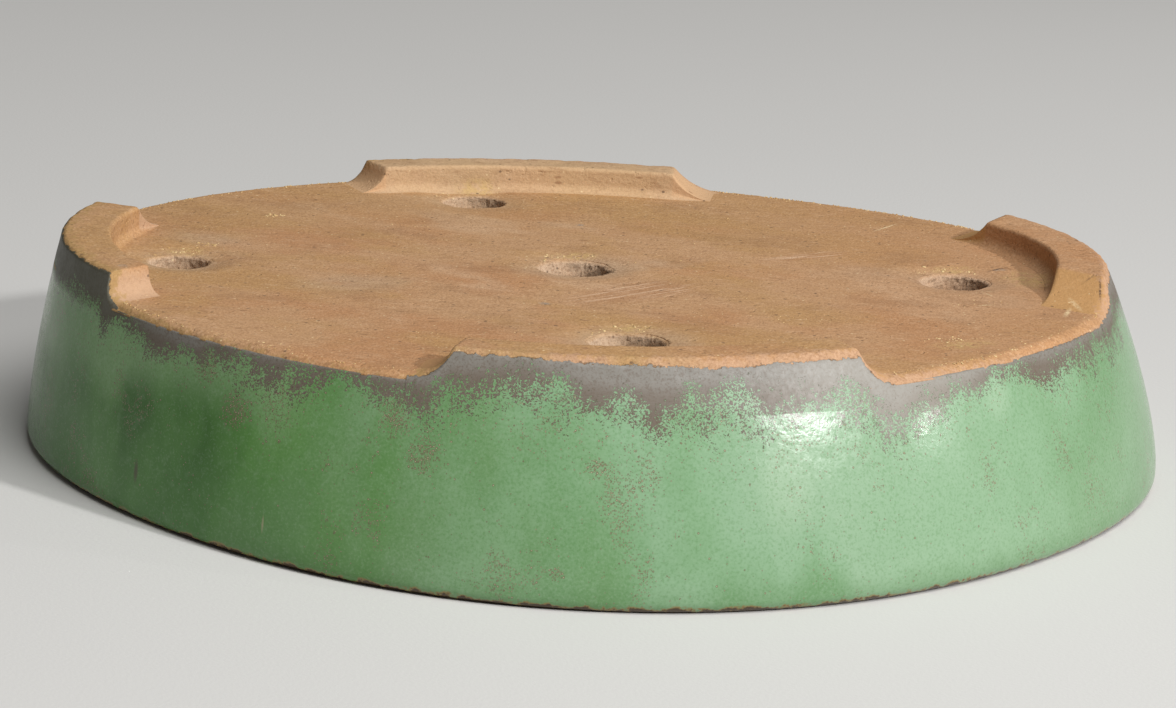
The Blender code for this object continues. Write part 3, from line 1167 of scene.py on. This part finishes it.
    def material(self, name: str) -> Material:
        """Build the glazed clay material, bare above the glaze line.

        Args:
            name: Name of the material.

        Returns:
            The material.
        """
        g = Graph(name)
        depth = g.attribute("glaze_depth")
        ragged = g.ragged(depth, g.noise(800.0, 3.0, 0.6), 0.35)
        glazed = g.ease(ragged, -0.08, 0.08)
        burns = g.times(g.ease(ragged, -0.40, -0.05), g.ease(g.noise(300.0, 2.0), 0.48, 0.56))
        clay = g.lay(self.clay.colour(g, depth), self.burnt, burns, 0.7)
        colour = g.mix(glazed, clay, self.colour(g))
        satin = g.ease(g.noise(700.0, 3.0, 0.6), 0.3, 0.7, 0.15, 0.25)
        satin = g.plus(satin, g.ease(g.attribute("band_break"), 0.8, 0.3, 0.0, 0.26))
        roughness = g.plus(g.times(glazed, g.maths("SUBTRACT", satin, self.matte)), self.matte)
        clay_height = g.times(self.clay.height(g), g.maths("SUBTRACT", 1.0, glazed))
        skin = g.plus(g.times(g.noise(150.0, 4.0, 0.6), 0.42), g.times(g.noise(1250.0, 2.0, 0.6), 0.035))
        height = g.plus(clay_height, g.times(g.plus(skin, 0.6), glazed))
        return g.done(colour, roughness, g.bump(height, 0.00032))


@dataclass
class BodyPiece:
    """A piece of the pot's body: the form and relief it is pressed to, its glaze line and its finish."""

    form: PotForm
    relief: HandRelief
    top_line: TopLine
    material: Material


@dataclass
class GlazedWall(BodyPiece):
    """The pressed side wall, with its lip and the cove under the floor."""

    steps: int = 720
    lip_outer: float = 0.0032
    lip_inner: float = 0.0028
    cove_radius: float = 0.0080
    cove_sweep: float = 75.0
    lid: float = 0.0015

    def section(self) -> Section:
        """Section of the wall as insets and levels, from the tucked top edge down the outer side.

        Returns:
            The closed section.
        """
        form = self.form
        tuck = arc(form.edge_radius, form.height - form.edge_radius, form.edge_radius, 120, 180, 6)
        tucked = [(inset, min(level, form.height - self.lid)) for inset, level in tuck]
        fine_end = form.height - 0.011
        outer = line((0.0, form.height - form.edge_radius - form.lap), (0.0, fine_end), 26)
        outer += line((0.0, fine_end), (0.0, self.lip_outer), 26)
        lip = arc(self.lip_outer, self.lip_outer, self.lip_outer, 180, 270, 8)
        inner_lip = arc(form.wall - self.lip_inner, self.lip_inner, self.lip_inner, -90, 0, 6)
        ledge = form.height - form.floor - form.lap
        cove_foot = ledge - self.cove_radius
        inner = line((form.wall, self.lip_inner + 0.002), (form.wall, cove_foot), 8)
        cove = arc(form.wall + self.cove_radius, cove_foot, self.cove_radius, 180, 180 - self.cove_sweep, 6)
        seat = [(cove[-1][0], ledge), (form.wall, ledge), (form.wall, form.height - self.lid)]
        return tucked + outer + lip + inner_lip + inner + cove + seat

    def build(self) -> Object:
        """Spin the wall, press it into the oval, and store how far each point is below the glaze line.

        Returns:
            The wall.
        """
        form = self.form
        bm = spun(self.section(), form.blank_radius, self.steps, 0, 360)
        layer = bm.verts.layers.float.new("glaze_depth")
        breaking = bm.verts.layers.float.new("band_break")
        shares = {}
        for vertex in bm.verts:
            angle, inset, level = blank_place(vertex.co, form.blank_radius)
            if angle not in shares:
                shares[angle] = self.top_line.share(angle)
            depth = self.top_line.depth(angle, level, inset, shares[angle])
            proud = self.relief.outward(angle, level) * (1 - smooth_step(0.004, 0.007, inset))
            place = form.skin(angle, level, inset)
            proud += self.relief.edge(place, depth, inset)
            vertex.co = form.skin(angle, level, inset - proud)
            vertex[layer] = depth
            vertex[breaking] = self.top_line.breaking(angle, depth)
        return finish_piece(bm, "glazed_wall", self.material, ["pot_wall"])


@dataclass
class ClayFloor(BodyPiece):
    """The floor slab: its wiped underside, rounded off over the wall's edge, and its drain holes."""

    cells: tuple[int, int] = (230, 170)
    rim_steps: int = 9
    skirt: float = 0.00006
    hole_squash: float = 0.90
    hole_flare: float = 0.0009
    hole_ragged: float = 0.0005
    hole_steps: int = 110
    plug_reach: float = 0.0040
    inside_depth: float = -20.0

    def _disc(self) -> BMesh:
        """Grid of a square, pulled into a disc.

        Returns:
            A bmesh of the disc, 1 in radius.
        """
        bm = bmesh.new()
        bmesh.ops.create_grid(bm, x_segments=self.cells[0], y_segments=self.cells[1], size=1.0)
        for vertex in bm.verts:
            u, v = vertex.co.x, vertex.co.y
            vertex.co.x = u * math.sqrt(max(0.0, 1 - v * v / 2))
            vertex.co.y = v * math.sqrt(max(0.0, 1 - u * u / 2))
        return bm

    def edge_section(self) -> Section:
        """Section from the flat underside round the edge, under the lid and down the slab's side.

        Returns:
            Inset and level of each point.
        """
        form = self.form
        radius = form.edge_radius
        rounding = arc(radius, form.height - radius, radius, 90, 172, self.rim_steps)[1:]
        proud = [(inset - self.skirt, level) for inset, level in rounding]
        last_inset, last_level = proud[-1]
        back = [(last_inset + 0.00035, last_level - 0.0002), (form.wall + form.lap, last_level)]
        side = [(form.wall + form.lap, form.height - form.floor)]
        return proud + back + side

    def build(self) -> Object:
        """Grow the slab from its disc, press it into the oval and cut the drain holes.

        Returns:
            The slab.
        """
        form = self.form
        bm = self._disc()
        layer = bm.verts.layers.float.new("glaze_depth")
        for vertex in bm.verts:
            share = math.hypot(vertex.co.x, vertex.co.y)
            edge = form.skin(angle_of(vertex.co), form.height, form.edge_radius)
            vertex.co = Vector((edge.x * share, edge.y * share, form.height))
        rim = [edge for edge in bm.edges if edge.is_boundary]
        for inset, level in self.edge_section():
            grown = bmesh.ops.extrude_edge_only(bm, edges=rim)["geom"]
            rim = [item for item in grown if isinstance(item, BMEdge)]
            for vertex in {vert for edge in rim for vert in edge.verts}:
                vertex.co = form.skin(self._angle(vertex.co), level, inset)
        bmesh.ops.holes_fill(bm, edges=rim, sides=0)
        for vertex in bm.verts:
            self._settle(vertex, layer)
        piece = finish_piece(bm, "clay_floor", self.material, ["base_slab"])
        self._pierce(piece)
        return piece

    def _angle(self, place: Vector) -> float:
        """Direction parameter of a point on the outline, by a short search.

        Args:
            place: The point.

        Returns:
            The direction in radians that gives this point.
        """
        form = self.form
        angle = math.atan2(place.y * form.base_length, place.x * form.base_width)
        for _ in range(6):
            here = form.skin(angle, form.height, form.edge_radius)
            normal = form.outward(angle, form.height)
            tangent = Vector((-normal.y, normal.x, 0.0))
            angle += (place - here).dot(tangent) / here.length
        return angle

    def _settle(self, vertex: BMVert, layer: BMLayerItem) -> None:
        """Give a point of the slab its relief and its distance from the glaze line.

        Args:
            vertex: The point.
            layer: Where that distance is stored.
        """
        form = self.form
        angle, level = angle_of(vertex.co), vertex.co.z
        edge = form.skin(angle, form.height)
        inset = edge.to_2d().length - vertex.co.to_2d().length
        upper = smooth_step(form.height - 0.004, form.height - 0.001, level)
        vertex[layer] = self.top_line.depth(angle, level, inset, 0.0)
        vertex.co.z += self.relief.upward(vertex.co.x, vertex.co.y) * upper * smooth_step(0.0, 0.004, inset)
        proud = self.relief.outward(angle, level) * (1 - smooth_step(0.001, 0.004, inset))
        proud += self.relief.edge(vertex.co.copy(), vertex[layer], inset)
        out = form.outward(angle, level) * proud
        vertex.co.x += out.x
        vertex.co.y += out.y
        vertex.co.z += min(0.0, proud) * 0.5 * upper

    def _pierce(self, piece: Object) -> None:
        """Cut the drain holes with ragged plugs, and apply the cut.

        Args:
            piece: The slab.
        """
        bm = bmesh.new()
        for hole in DRAIN_HOLES:
            self._add_plug(bm, hole)
        layer = bm.verts.layers.float.new("glaze_depth")
        for vertex in bm.verts:
            vertex[layer] = self.inside_depth
        bmesh.ops.recalc_face_normals(bm, faces=bm.faces)
        plugs = add_object("plugs", mesh_from(bm, "plugs"))
        cut = piece.modifiers.new("holes", "BOOLEAN")
        cut.operation = "DIFFERENCE"
        cut.solver = "EXACT"
        cut.object = plugs
        depsgraph = bpy.context.evaluated_depsgraph_get()
        pierced = bpy.data.meshes.new_from_object(piece.evaluated_get(depsgraph))
        piece.modifiers.clear()
        old = piece.data
        piece.data = pierced
        pierced.name = piece.name
        bpy.data.meshes.remove(old)
        bpy.data.objects.remove(plugs)

    def _add_plug(self, bm: BMesh, hole: DrainHole) -> None:
        """Add one ragged plug: a spun column, flared where it leaves the underside.

        Args:
            bm: The bmesh of all plugs.
            hole: The drain hole.
        """
        top, low = self.form.height, self.form.height - self.form.floor
        radius, flare, reach = hole.diameter / 2 - self.hole_ragged, self.hole_flare, self.plug_reach
        turns = [math.pi / 2 * i / 7 for i in range(8)]
        section = [(0.0, top + reach), (radius + flare + 0.0010, top + reach)]
        section += [
            (radius + flare * (1 - math.sin(turn)), top - hole.dish - flare * (1 - math.cos(turn)))
            for turn in turns
        ]
        section += [(radius, top - hole.dish - flare - 0.0010 * i) for i in range(1, 6)]
        section += [(radius + 0.0008, low - 0.0002), (radius + 0.0016, low - reach), (0.0, low - reach)]
        verts = [bm.verts.new((r, 0.0, z)) for r, z in section]
        edges = [bm.edges.new((verts[i], verts[i + 1])) for i in range(len(verts) - 1)]
        made = bmesh.ops.spin(
            bm, geom=verts + edges, cent=(0, 0, 0), axis=(0, 0, 1), dvec=(0, 0, 0),
            angle=2 * math.pi, steps=self.hole_steps, use_merge=True, use_duplicate=False,
        )
        column = {v for item in made["geom_last"] for v in getattr(item, "verts", [])} | set(verts)
        bmesh.ops.remove_doubles(bm, verts=list(self._linked(column)), dist=1e-6)
        centre = Vector((hole.x, hole.y, 0.0))
        for vertex in self._linked({v for v in verts if v.is_valid}):
            flat = vertex.co.to_2d()
            if flat.length > 1e-4:
                seed = Vector((flat.x, flat.y, vertex.co.z)) + centre
                upper = smooth_step(top - 0.0050, top - 0.0005, vertex.co.z)
                push = ripple(seed, 230.0, 3) * self.hole_ragged + ripple(seed, 1000.0, 2) * 0.00024
                slow = ripple(seed, 90.0, 1) * 0.0007
                lean = max(0.0, -flat.x / flat.length) ** 2 * upper * 0.0016
                flat *= 1 + (push + slow + lean) / flat.length
            vertex.co.x, vertex.co.y = flat.x + hole.x, flat.y * self.hole_squash + hole.y

    @staticmethod
    def _linked(start: Iterable[BMVert]) -> set[BMVert]:
        """All points joined to the given ones by edges.

        Args:
            start: The given points.

        Returns:
            All of them, the given ones included.
        """
        seen = set(start)
        queue = list(seen)
        while queue:
            vertex = queue.pop()
            for edge in vertex.link_edges:
                other = edge.other_vert(vertex)
                if other not in seen:
                    seen.add(other)
                    queue.append(other)
        return seen


@dataclass
class ClayFoot(BodyPiece):
    """One luted foot: an arc of clay, flush with the wall outside and filleted inside."""

    plan: FootPlan
    steps: int = 200
    skirt: float = 0.0085
    edge: float = 0.0010
    root: float = 0.0006
    tuck: float = 0.00008
    sink: float = 0.00012
    cover: float = 0.00008
    proud: float = 0.00003
    skirt_sink: float = 0.00016
    chip_setback: float = 0.0025
    top_wear: float = 0.00022
    top_grain: float = 0.00007
    edge_wear: float = 0.00025

    def section(self) -> Section:
        """Full-height section as insets and levels, from the skirt's foot up and over to the toe.

        Returns:
            The closed section.
        """
        form, edge, fillet = self.form, self.edge, self.plan.fillet
        width, top = self.plan.width, self.form.foot_top
        outer = line((0.0, form.height - self.skirt), (0.0, top - edge), 30)
        over = arc(edge, top - edge, edge, 180, 90, 6)
        flat = line((edge * 1.4, top), (width - edge, top), 16)
        inner = arc(width - edge, top - edge, edge, 90, 0, 5)
        side = line((width, top - edge - 0.0003), (width, form.height + fillet), 8)
        toe = arc(width + fillet, form.height + fillet - self.tuck, fillet, 180, 262, 9)
        root = form.height - self.root
        under = [(width, root), (0.0014, root), (0.0012, form.height - self.skirt)]
        return outer + over + flat + inner + side + toe + under

    def _base_level(self, inset: float) -> float:
        """Level of the pot's own edge at an inset, where the foot has no height.

        Args:
            inset: Distance inside the outer skin.

        Returns:
            Height above the rim plane.
        """
        radius = self.form.edge_radius
        if inset >= radius:
            return self.form.height
        return self.form.height - radius + math.sqrt(max(0.0, radius ** 2 - (radius - inset) ** 2))

    def build(self) -> Object:
        """Sweep the foot, give its ends their scoops and press it on to the wall.

        Returns:
            The foot.
        """
        form, plan = self.form, self.plan
        bm = spun(self.section(), form.blank_radius, self.steps, plan.start, plan.end)
        open_edges = [edge for edge in bm.edges if edge.is_boundary]
        bmesh.ops.holes_fill(bm, edges=open_edges, sides=0)
        for edge in open_edges:
            edge.smooth = False
        layer = bm.verts.layers.float.new("glaze_depth")
        breaking = bm.verts.layers.float.new("band_break")
        cut_end = bm.verts.layers.float.new("cut_end")
        for vertex in bm.verts:
            angle, inset, level = blank_place(vertex.co, form.blank_radius)
            plumb = min(1.0, max(0.0, inset / plan.width))
            place = form.skin(angle, form.height + form.foot_height * plumb, inset).to_2d()
            share = self.top_line.foot_share(plan, angle, place)
            rest_level = min(level, self._base_level(inset) - self.tuck)
            lifted = rest_level + (level - rest_level) * share
            out = self.relief.outward(angle, lifted) * (1 - smooth_step(0.002, 0.006, inset))
            sunk = self.sink * (1 - smooth_step(0.0, 0.22, share)) * smooth_step(0.0004, 0.0012, inset)
            under = smooth_step(form.height - 0.003, form.height - self.skirt, level)
            sunk += self.skirt_sink * under - self.proud
            sunk -= self.cover * smooth_step(0.0, 0.06, share) * (1 - under)
            depth = self.top_line.depth(angle, lifted, inset, share)
            sunk -= self.relief.edge(form.skin(angle, lifted, inset), depth, inset + self.chip_setback)
            spot = form.skin(angle, lifted + (form.foot_top - lifted) * plumb, inset - out + sunk)
            spot.z = lifted
            spot.z += self._wear(spot, inset, share)
            low = smooth_step(form.height + 0.004, form.height, spot.z)
            spot.z += self.relief.upward(spot.x, spot.y) * low
            vertex.co = spot
            vertex[layer] = depth
            vertex[breaking] = self.top_line.breaking(angle, depth)
            vertex[cut_end] = smooth_step(0.99, 0.90, share) * smooth_step(-1.0, 1.0, inset / MM)
            vertex[cut_end] *= smooth_step(plan.width + 0.0012, plan.width - 0.0002, inset)
        return finish_piece(bm, f"clay_{plan.name}", self.material, [plan.name])

    def _wear(self, spot: Vector, inset: float, share: float) -> float:
        """Unevenness of the foot's upper faces, never above its top.

        Args:
            spot: The point.
            inset: Distance inside the outer skin.
            share: Share of the foot's height there.

        Returns:
            Distance in metres, 0 or less.
        """
        up = smooth_step(self.form.height, self.form.height + 0.003, spot.z)
        worn = -abs(ripple(spot, 120.0, 3)) * self.top_wear - abs(ripple(spot, 520.0, 2)) * self.top_grain
        at_edge = 1 - smooth_step(0.0006, 0.0022, abs(inset - 0.0005))
        chipped = ripple(spot, 300.0, 3) * self.edge_wear * at_edge
        return (worn + min(0.0, chipped)) * up * share


@dataclass(frozen=True)
class CrumbSpot:
    """A place with loose crumbs: its middle, its half sizes, how many, and how big they are."""

    x: float
    y: float
    half_x: float
    half_y: float
    count: int
    size: float


CRUMB_SPOTS = (
    CrumbSpot(-0.0825, 0.0530, 0.0026, 0.0022, 16, 0.00034),
    CrumbSpot(-0.1037, 0.0226, 0.0030, 0.0024, 18, 0.00034),
    CrumbSpot(-0.0460, 0.0440, 0.0060, 0.0050, 12, 0.00022),
    CrumbSpot(0.0444, 0.0550, 0.0008, 0.0008, 2, 0.00034),
    CrumbSpot(0.0720, -0.0650, 0.0070, 0.0030, 26, 0.00030),
    CrumbSpot(0.0350, -0.0480, 0.0120, 0.0060, 24, 0.00020),
    CrumbSpot(-0.0500, -0.0600, 0.0200, 0.0100, 26, 0.00018),
    CrumbSpot(0.0150, 0.0180, 0.0200, 0.0100, 20, 0.00018),
    CrumbSpot(0.0880, -0.0300, 0.0080, 0.0060, 14, 0.00020),
)


@dataclass
class ClayCrumbs:
    """Loose crumbs and granules of clay, fired on where the clay was cut or scraped."""

    form: PotForm
    relief: HandRelief
    material: Material
    around_holes: int = 200
    along_edge: int = 1100
    scattered: int = 90
    clear: float = 0.0012
    bedded: float = 0.25
    lumpy: float = 0.22
    seed: int = 7

    def build(self) -> Object:
        """Scatter the crumbs and join them in one piece.

        Returns:
            The crumbs.
        """
        draw = random.Random(self.seed)
        bm = bmesh.new()
        for hole in DRAIN_HOLES:
            for _ in range(self.around_holes // len(DRAIN_HOLES)):
                turn = draw.gauss(math.radians(draw.choice((70, 95, 130))), 0.22)
                away = hole.diameter / 2 + 0.0010 + abs(draw.gauss(0.0, 0.0017))
                place = Vector((hole.x + math.cos(turn) * away, hole.y + math.sin(turn) * away))
                self._drop(bm, draw, place, 0.00012 + 0.00040 * draw.random() ** 3)
        for _ in range(self.along_edge):
            angle = draw.uniform(0, 2 * math.pi)
            inset = 0.0012 + abs(draw.gauss(0.0, 0.0012))
            place = self.form.skin(angle, self.form.height, inset).to_2d()
            self._drop(bm, draw, place, draw.uniform(0.00012, 0.00034), inset)
        for spot in CRUMB_SPOTS:
            for _ in range(spot.count):
                place = Vector((draw.gauss(spot.x, spot.half_x * 0.5), draw.gauss(spot.y, spot.half_y * 0.5)))
                self._drop(bm, draw, place, spot.size * draw.uniform(0.6, 1.5))
        for _ in range(self.scattered):
            angle, share = draw.uniform(0, 2 * math.pi), math.sqrt(draw.random())
            edge = self.form.skin(angle, self.form.height, 0.006).to_2d()
            self._drop(bm, draw, edge * share, draw.uniform(0.00008, 0.00022))
        return finish_piece(bm, "clay_crumbs", self.material)

    def _drop(
        self, bm: BMesh, draw: random.Random, place: Vector, size: float, inset: float = 0.01,
    ) -> None:
        """Add one crumb on the underside at a place in plan, on the rounded edge if it is close to it.

        Args:
            bm: The bmesh of all crumbs.
            draw: The seeded draws.
            place: The place in plan.
            size: Radius of the crumb.
            inset: Distance inside the outer skin.
        """
        for hole in DRAIN_HOLES:
            if (place - Vector((hole.x, hole.y))).length < hole.diameter / 2 + self.clear:
                return
        radius = self.form.edge_radius
        fall = radius - math.sqrt(radius ** 2 - max(0.0, radius - inset) ** 2)
        level = self.form.height + self.relief.upward(place.x, place.y) * smooth_step(0.0, 0.004, inset)
        level -= fall + size * self.bedded
        spread = Matrix.Diagonal([draw.uniform(*span) for span in ((0.7, 1.7), (0.7, 1.3), (0.45, 0.8))])
        turn = Matrix.Rotation(draw.uniform(0, math.pi), 4, "Z")
        made = bmesh.ops.create_icosphere(
            bm, subdivisions=1, radius=size,
            matrix=Matrix.Translation((place.x, place.y, level)) @ turn @ spread.to_4x4(),
        )
        for vertex in made["verts"]:
            vertex.co += Vector([draw.uniform(-self.lumpy, self.lumpy) * size for _ in range(3)])


@dataclass(frozen=True)
class Lamp:
    """A soft round lamp: where it stands, its diameter, its power in watts and what it faces."""

    name: str
    place: Triple
    size: float
    power: float
    target: Triple = (0.03, 0.0, 0.04)


@dataclass
class Studio:
    """Camera, lamps and plain floor: a low key lamp from the right, a weak side lamp and a big one."""

    position: Triple = (-0.21735, -0.92941, 0.30048)
    right: Triple = (0.97697, -0.20393, 0.06277)
    up: Triple = (-0.00273, 0.28224, 0.95934)
    ahead: Triple = (0.21336, 0.93742, -0.27518)
    lens: float = 115.76
    sensor: float = 36.0
    floor_size: float = 6.0
    lamps: tuple[Lamp, ...] = (
        Lamp("key", (1.44, -1.59, 1.275), 0.15, 37.0),
        Lamp("side", (2.10, -0.90, 0.87), 0.14, 3.0),
        Lamp("soft", (0.50, -1.20, 2.10), 1.70, 44.0, (0.0, 0.0, 0.04)),
    )
    surround: Colour = (1.0, 0.985, 0.96)
    ambient: float = 0.10

    def build(self) -> None:
        """Set up the whole studio."""
        self._camera()
        self._floor()
        for lamp in self.lamps:
            self._lamp(lamp)
        self._surround()
        bpy.context.scene.view_settings.view_transform = "Standard"

    def _camera(self) -> None:
        """Camera where the photograph was taken from."""
        data = bpy.data.cameras.new("camera")
        data.lens = self.lens
        data.sensor_width = self.sensor
        camera = add_object("camera", data)
        turn = Matrix((self.right, self.up, [-value for value in self.ahead])).transposed()
        camera.matrix_world = Matrix.Translation(self.position) @ turn.to_4x4()
        bpy.context.scene.camera = camera

    def _floor(self) -> None:
        """Plain pale floor."""
        bm = bmesh.new()
        bmesh.ops.create_grid(bm, x_segments=1, y_segments=1, size=self.floor_size / 2)
        mesh = mesh_from(bm, "studio_floor")
        g = Graph("pale_paper")
        shade = g.mix(g.noise(3.0), (0.68, 0.67, 0.65), (0.65, 0.64, 0.62))
        mesh.materials.append(g.done(shade, 0.9, g.bump(g.noise(900.0), 0.00005)))
        floor = add_object("studio_floor", mesh)

    @staticmethod
    def _lamp(lamp: Lamp) -> None:
        """Add one lamp.

        Args:
            lamp: The lamp.
        """
        data = bpy.data.lights.new(lamp.name, "AREA")
        data.shape = "DISK"
        data.size = lamp.size
        data.energy = lamp.power
        light = add_object(lamp.name, data)
        light.location = lamp.place
        light.rotation_euler = (Vector(lamp.place) - Vector(lamp.target)).to_track_quat("Z", "Y").to_euler()

    def _surround(self) -> None:
        """Dim, even light from all around."""
        world = bpy.data.worlds.new("surround")
        world.use_nodes = True
        light = world.node_tree.nodes["Background"]
        light.inputs["Color"].default_value = (*self.surround, 1.0)
        light.inputs["Strength"].default_value = self.ambient
        bpy.context.scene.world = world


def main() -> None:
    """Build the pot's pieces in order, then the studio round them."""
    form = PotForm()
    relief = HandRelief()
    top_line = TopLine(form)
    clay = ClayFinish()
    # The back foot's clay is painted paler, painted light standing in for the light on its inner face; it
    # also has less grain.
    painted_light_clay = replace(
        clay, body=(0.600, 0.410, 0.255), warm=(0.570, 0.360, 0.205), ochre=(0.560, 0.370, 0.200), sandy=0.45,
    )
    foot_clays = {
        "foot_front": replace(clay, cut=(0.560, 0.320, 0.145)),
        "foot_back": replace(painted_light_clay, cut=(0.600, 0.370, 0.200)),
        "foot_left": replace(clay, cut=(0.555, 0.362, 0.230)),
        "foot_right": replace(clay, cut=(0.510, 0.285, 0.105)),
    }
    GlazedWall(form, relief, top_line, GlazeFinish().material("green_glaze_on_the_wall")).build()
    ClayFloor(form, relief, top_line, clay.material()).build()
    for plan in FEET:
        finish = GlazeFinish(clay=foot_clays[plan.name])
        ClayFoot(form, relief, top_line, finish.material(f"green_glaze_on_{plan.name}"), plan).build()
    ClayCrumbs(form, relief, CrumbFinish().material()).build()
    Studio().build()


if __name__ == "__main__":
    main()
